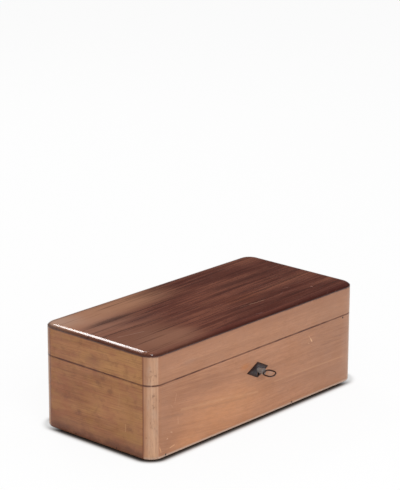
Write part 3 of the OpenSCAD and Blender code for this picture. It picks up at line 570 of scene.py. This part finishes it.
def slab(name, cells, point):
    """Closed piece between two grids of points.

    point(u, v, side) gives their places, with side 0 at the back and 1 in front.
    """
    rows, cols = cells
    made = bmesh.new()

    def step(i, count):
        return 0.5 - 0.5 * math.cos(math.pi * i / count)

    grid = [[[made.verts.new(point(step(i, rows), step(j, cols), side)) for j in range(cols + 1)]
             for i in range(rows + 1)] for side in (0, 1)]
    for g in grid:
        for i in range(rows):
            for j in range(cols):
                made.faces.new((g[i][j], g[i + 1][j], g[i + 1][j + 1], g[i][j + 1]))
    rim = [(i, 0) for i in range(rows)] + [(rows, j) for j in range(cols)]
    rim += [(i, cols) for i in range(rows, 0, -1)] + [(0, j) for j in range(cols, 0, -1)]
    for (a, b), (c, d) in zip(rim, rim[1:] + rim[:1]):
        made.faces.new((grid[0][a][b], grid[0][c][d], grid[1][c][d], grid[1][a][b]))
    bmesh.ops.recalc_face_normals(made, faces=made.faces)
    mesh = bpy.data.meshes.new(name)
    made.to_mesh(mesh)
    made.free()
    for face in mesh.polygons:
        face.use_smooth = True
    mesh.materials.append(green.material)
    piece = bpy.data.objects.new(name, mesh)
    bpy.context.scene.collection.objects.link(piece)
    return piece


def lump(x, y, z, size_mm):
    """Smooth unevenness from -1 to 1 with that size."""
    return noise.noise(Vector((x, y, z)) / (size_mm * MM))


# Linings, in millimetres: gap beside and below the felt, and how far its cut edges wander
LINING_EDGE, LINING_GAP, LINING_CUT = 0.09, 0.04, 0.06
# Shares of a lining's width and of its length over which the edges are pressed thin
SOFT_SIDES, SOFT_ENDS = 0.12, 0.02


def lining(name, node, thick_mm):
    """Felt laid in a round trough, with soft edges, a hand-cut outline and an uneven face."""
    low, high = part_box(node)
    depth, half = high.z - low.z, (high.y - low.y) / 2
    radius = (depth ** 2 + half ** 2) / (2 * depth)
    opening = math.asin(half / radius)
    middle_y, axis_z = (low.y + high.y) / 2, low.z + radius
    edge = LINING_EDGE * MM

    def point(u, v, side):
        angle = (2 * u - 1) * opening
        cut = lump(u * 0.2, v, 0.3, 9) * LINING_CUT * MM
        x = low.x + edge + (high.x - low.x - 2 * edge) * v + cut
        near = min(1.0, min(v, 1 - v) / SOFT_SIDES, min(u, 1 - u) / SOFT_ENDS)
        coarse = 0.05 * lump(x, angle * radius, 0.0, 3.5)
        fine = 0.03 * lump(x, angle * radius, 0.1, 1.2)
        full = thick_mm * (0.55 + 0.4 * math.sqrt(near)) + coarse + fine
        r = radius - (full if side else LINING_GAP) * MM
        return (x, middle_y + r * math.sin(angle), axis_z - r * math.cos(angle))

    piece = slab(name, (96, 18), point)
    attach(piece, "case")
    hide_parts(node)


lining("stage_lining", "stage_baize", 0.8)
lining("tube_lining", "tube_baize", 0.8)


def lid_pad():
    """Soft pad glued under the block: its back is flat, its face is crowned and its sides pull in."""
    low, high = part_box("lid_block_pad")
    middle, half = (low + high) / 2, (high - low) / 2

    def point(u, v, side):
        a, b = 2 * u - 1, 2 * v - 1
        crown = ((1 - abs(a) ** 9) * (1 - abs(b) ** 4)) ** 0.5
        inset_x, inset_y = (0.03, 0.02) if side else (0.0, 0.0)
        x = middle.x + half.x * b * (1 - 0.05 * (1 - a * a) - inset_x)
        y = middle.y + half.y * a * (1 - 0.03 * (1 - b * b) * abs(a) - inset_y)
        deep = 0.02 * MM
        if side:
            deep = (high.z - low.z) * (0.3 + 0.68 * crown) - abs(lump(x, y, 0.5, 6)) * 0.18 * MM * crown
        return (x, y, high.z - deep)

    piece = slab("lid_pad", (48, 20), point)
    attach(piece, "lid")
    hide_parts("lid_block_pad")


lid_pad()

# Soft arrises on the CAD pieces, wider on the large ones
for name, piece in nodes.items():
    large = any(word in name for word in ("wall", "post", "board"))
    arris = piece.modifiers.new("arris", "BEVEL")
    arris.width = (0.22 if large else 0.12) * MM
    arris.segments = 2
    arris.limit_method = "ANGLE"
    arris.angle_limit = math.radians(38)
    arris.harden_normals = True
    for face in piece.data.polygons:
        face.use_smooth = True

# Floor: white, with the real shadow kept beside the case and a contact shadow painted into its colour there
FLOOR_HALF = 40.0
floor_mesh = bpy.data.meshes.new("floor")
floor_mesh.from_pydata([(x * FLOOR_HALF, y * FLOOR_HALF, 0) for x, y in ((-1, -1), (1, -1), (1, 1), (-1, 1))],
                       [], [(0, 1, 2, 3)])
floor = bpy.data.objects.new("floor", floor_mesh)
bpy.context.scene.collection.objects.link(floor)
f = Shader("floor_white_painted_shadow")
beyond = [f.math("MAXIMUM", f.math("SUBTRACT", f.size(axis), (half - CORNER_R) * MM), 0.0)
          for axis, half in ((f.x, HALF_L), (f.y, HALF_D))]
reach = f.math("SQRT", f.math("ADD", *[f.times(b, b) for b in beyond]))
away = f.math("SUBTRACT", reach, CORNER_R * MM)
# Painted shadow: the floor's colour darkens towards the case's outline in the ramp below, less so at the
# front-right and back-left corners
corners = f.most(f.spot((HALF_L, -HALF_D, 0), 26, 1.0), f.spot((-HALF_L, HALF_D, 0), 26, 1.0))
shadow = f.times(f.smooth(away, 2.0 * MM, 11.5 * MM, 1.0, 0.0), f.smooth(corners, 0.0, 1.0, 1.0, 0.3))
shade = f.most(shadow, 0.1)
painted_contact_shadow = f.ramp(f.smooth(away, 0.0, 10 * MM), (0.0, "302a26"), (0.25, "6c6866"), (0.5, "b0aeac"),
                 (0.75, "dadada"), (1.0, "f4f4f4"))
path = f.node("ShaderNodeLightPath").outputs
seen = f.most(path["Is Camera Ray"], path["Is Glossy Ray"], path["Is Transmission Ray"])
lit = f.node("ShaderNodeBsdfDiffuse", painted_contact_shadow)
bounce = f.node("ShaderNodeBsdfDiffuse", rgb("f2f2f2"))
glow = f.node("ShaderNodeEmission", (1, 1, 1, 1), 1.0)
shown = f.node("ShaderNodeMixShader", shade, glow.outputs[0], lit.outputs[0])
whole = f.node("ShaderNodeMixShader", seen, bounce.outputs[0], shown.outputs[0])
f.tree.links.new(whole.outputs[0], f.tree.nodes["Material Output"].inputs["Surface"])
f.tree.nodes.remove(f.surface)
floor_mesh.materials.append(f.material)

# World: even light on the object, white for the camera, and for gloss white only near the horizon
SKY_LEVEL = 0.62
world = bpy.data.worlds.new("studio")
bpy.context.scene.world = world
world.use_nodes = True
sky = Graph(world.node_tree)
background = world.node_tree.nodes["Background"]
ray = sky.node("ShaderNodeLightPath").outputs
toward = sky.node("ShaderNodeTexCoord").outputs["Generated"]
height = sky.node("ShaderNodeSeparateXYZ", toward).outputs[2]
gloss = sky.smooth(height, 0.02, 0.16, 1.0, 0.06)
plain = sky.between(ray["Is Glossy Ray"], SKY_LEVEL, gloss)
white_for = sky.most(ray["Is Camera Ray"], ray["Is Transmission Ray"])
background.inputs["Color"].default_value = (1, 1, 1, 1)
sky.put(background.inputs["Strength"], sky.between(white_for, plain, 1.0))


# Point in the case that the lamps look at
LAMP_TARGET = Vector((0, 0, 0.05))


def lamp(name, direction, far_m, size, radiance, long_way=None):
    """Area lamp that looks at the case from a direction, with that radiance at its surface.

    Its second size lies along long_way.
    """
    data = bpy.data.lights.new(name, "AREA")
    data.shape = "RECTANGLE"
    data.size, data.size_y = size
    data.energy = radiance * math.pi * size[0] * size[1]
    made = bpy.data.objects.new(name, data)
    bpy.context.scene.collection.objects.link(made)
    back = Vector(direction).normalized()
    made.location = back * far_m + LAMP_TARGET
    if long_way is None:
        made.rotation_euler = back.to_track_quat("Z", "Y").to_euler()
    else:
        side = Vector(long_way).cross(back).normalized()
        made.rotation_euler = Matrix((side, back.cross(side), back)).transposed().to_euler()


lamp("key", (-0.42, -0.68, 0.6), 1.8, (1.1, 1.1), 4.2)
lamp("strip", (0.343, 0.677, 0.651), 1.6, (0.15, 0.8), 10.0, (0.883, 0.0, -0.469))
lamp("overhead", (-0.03, -0.11, 0.99), 1.5, (0.1, 0.1), 60.0)

# Camera as fitted to the case's edges in the photograph: place in metres, then degrees
CAMERA_AT = (-1.2647, -1.1283, 0.6507)
CAMERA_AZIMUTH, CAMERA_DOWN, CAMERA_ROLL = -48.156, 16.638, 0.1894
camera_data = bpy.data.cameras.new("camera")
camera = bpy.data.objects.new("camera", camera_data)
bpy.context.scene.collection.objects.link(camera)
camera_data.lens = 149.515
camera_data.sensor_width = 36
camera_data.sensor_fit = "AUTO"
camera_data.clip_start, camera_data.clip_end = 0.05, 200
camera.matrix_world = (
    Matrix.Translation(CAMERA_AT)
    @ Matrix.Rotation(math.radians(CAMERA_AZIMUTH), 4, "Z")
    @ Matrix.Rotation(math.radians(90 - CAMERA_DOWN), 4, "X")
    @ Matrix.Rotation(math.radians(CAMERA_ROLL), 4, "Z")
)
bpy.context.scene.camera = camera
bpy.context.scene.view_settings.view_transform = "Standard"

bpy.context.view_layer.update()
